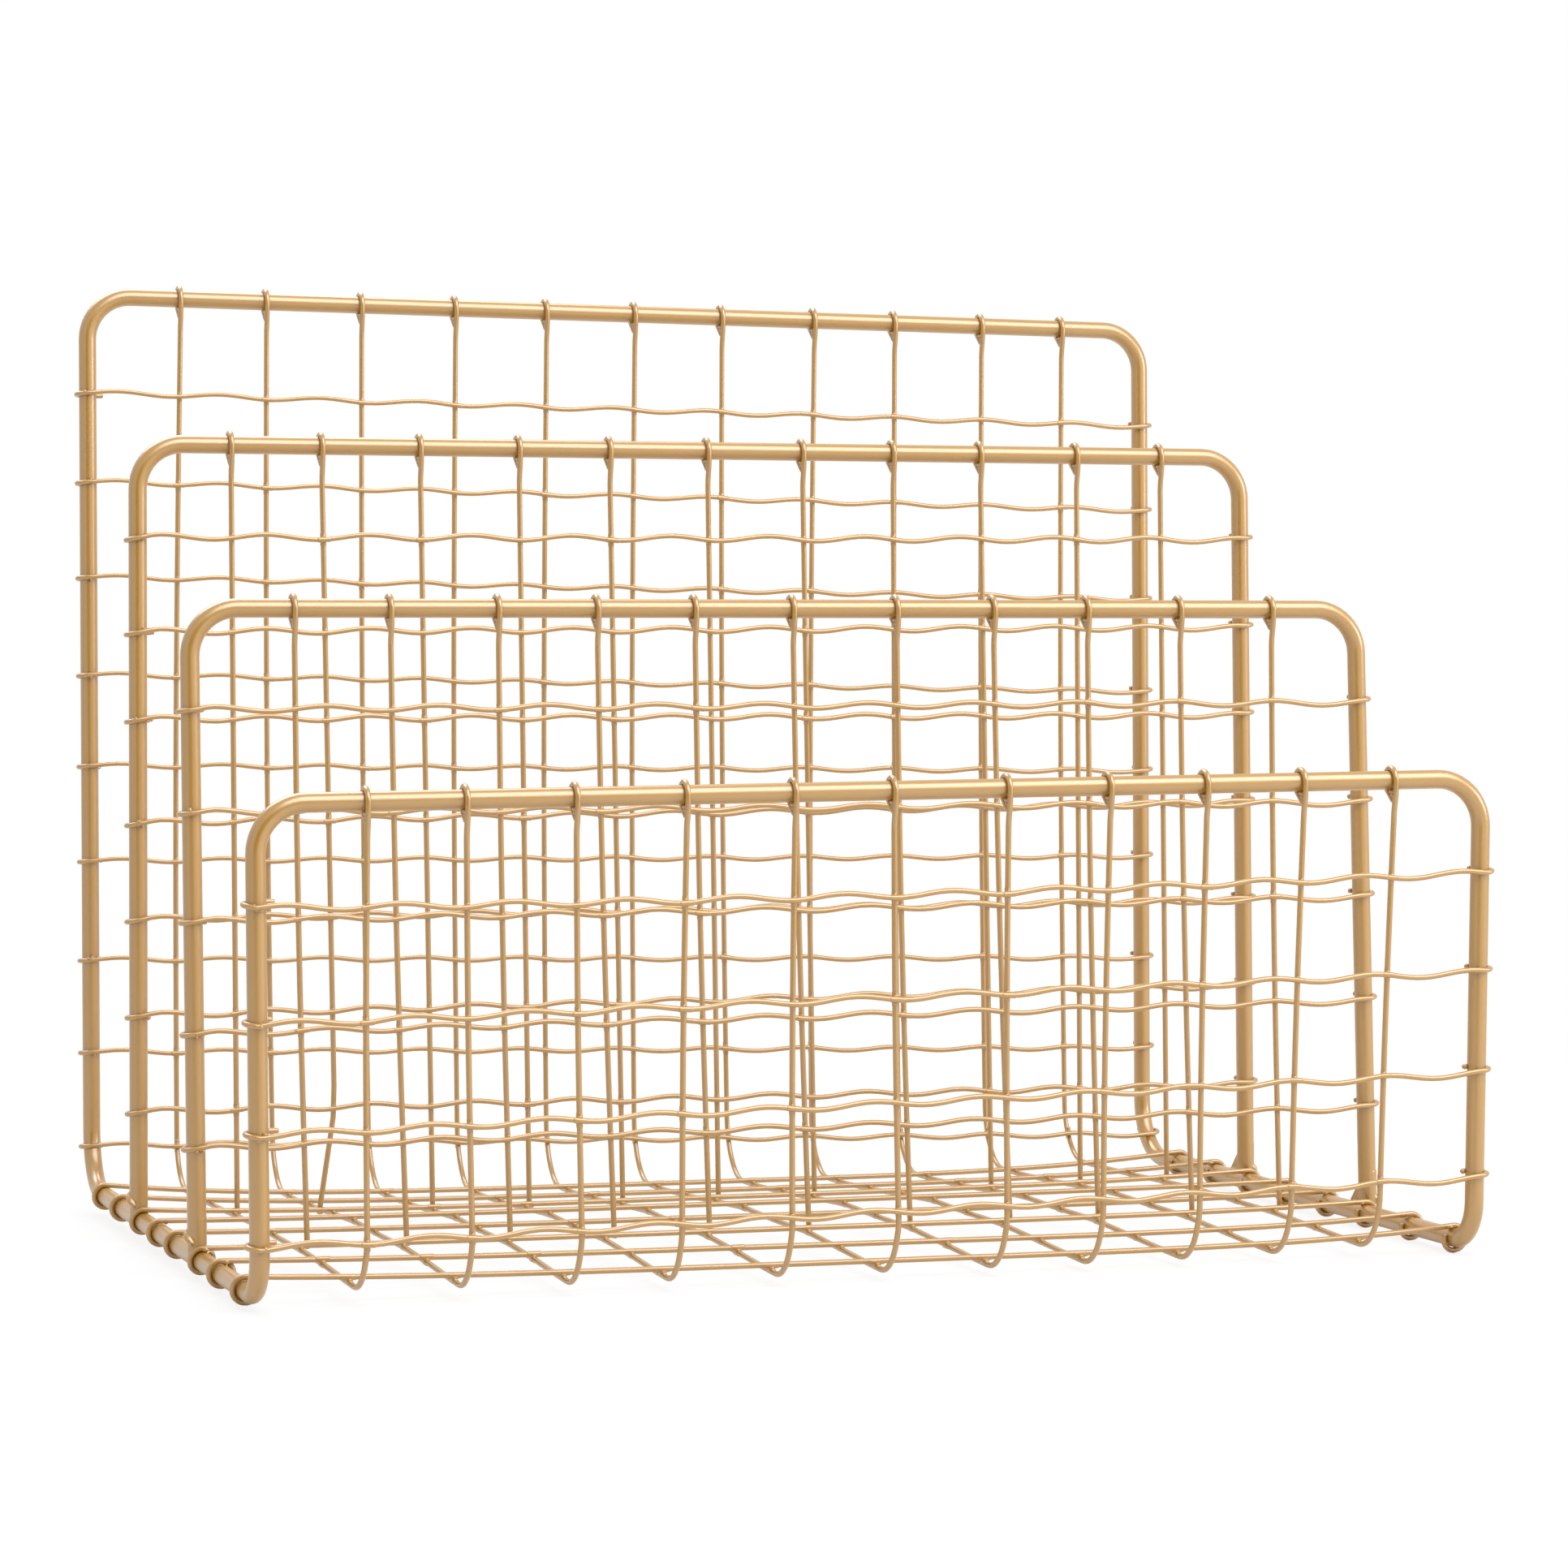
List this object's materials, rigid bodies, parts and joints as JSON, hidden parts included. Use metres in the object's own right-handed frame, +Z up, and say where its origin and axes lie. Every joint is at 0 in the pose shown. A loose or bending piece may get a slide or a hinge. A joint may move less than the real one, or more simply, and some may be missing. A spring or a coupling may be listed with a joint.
{
  "type": "file holder",
  "caption": "Stepped desk file holder of welded rod and wavy wire mesh, with open-ended pockets between upright walls that rise from front to back.",
  "frame": {"origin": "on the surface that the holder stands on, under the centre of its bounding box", "axes": "+X to the right along the rails, +Y from the low front wall to the tall back wall, +Z up"},
  "size_m": [0.3382, 0.2404, 0.2682],
  "materials": {
    "gold_paint": "satin gold paint with a fine pebbled grain"
  },
  "bodies": {
    "root": {"outer_frame": "gold_paint", "second_hoop": "gold_paint", "third_hoop": "gold_paint", "long_wire_with_upright_01": "gold_paint", "long_wire_with_upright_02": "gold_paint", "long_wire_with_upright_03": "gold_paint", "long_wire_with_upright_04": "gold_paint", "long_wire_with_upright_05": "gold_paint", "long_wire_with_upright_06": "gold_paint", "long_wire_with_upright_07": "gold_paint", "long_wire_with_upright_08": "gold_paint", "long_wire_with_upright_09": "gold_paint", "long_wire_with_upright_10": "gold_paint", "long_wire_with_upright_11": "gold_paint", "second_upright_01": "gold_paint", "second_upright_02": "gold_paint", "second_upright_03": "gold_paint", "second_upright_04": "gold_paint", "second_upright_05": "gold_paint", "second_upright_06": "gold_paint", "second_upright_07": "gold_paint", "second_upright_08": "gold_paint", "second_upright_09": "gold_paint", "second_upright_10": "gold_paint", "second_upright_11": "gold_paint", "cross_wire_01": "gold_paint", "cross_wire_02": "gold_paint", "cross_wire_03": "gold_paint", "cross_wire_04": "gold_paint", "cross_wire_05": "gold_paint", "cross_wire_06": "gold_paint", "cross_wire_07": "gold_paint", "cross_wire_08": "gold_paint", "front_row_01": "gold_paint", "front_row_02": "gold_paint", "front_row_03": "gold_paint", "front_row_04": "gold_paint", "second_row_01": "gold_paint", "second_row_02": "gold_paint", "second_row_03": "gold_paint", "second_row_04": "gold_paint", "second_row_05": "gold_paint", "third_row_01": "gold_paint", "third_row_02": "gold_paint", "third_row_03": "gold_paint", "third_row_04": "gold_paint", "third_row_05": "gold_paint", "third_row_06": "gold_paint", "third_row_07": "gold_paint", "back_row_01": "gold_paint", "back_row_02": "gold_paint", "back_row_03": "gold_paint", "back_row_04": "gold_paint", "back_row_05": "gold_paint", "back_row_06": "gold_paint", "back_row_07": "gold_paint", "back_row_08": "gold_paint", "back_row_09": "gold_paint"}
  },
  "joints": []
}
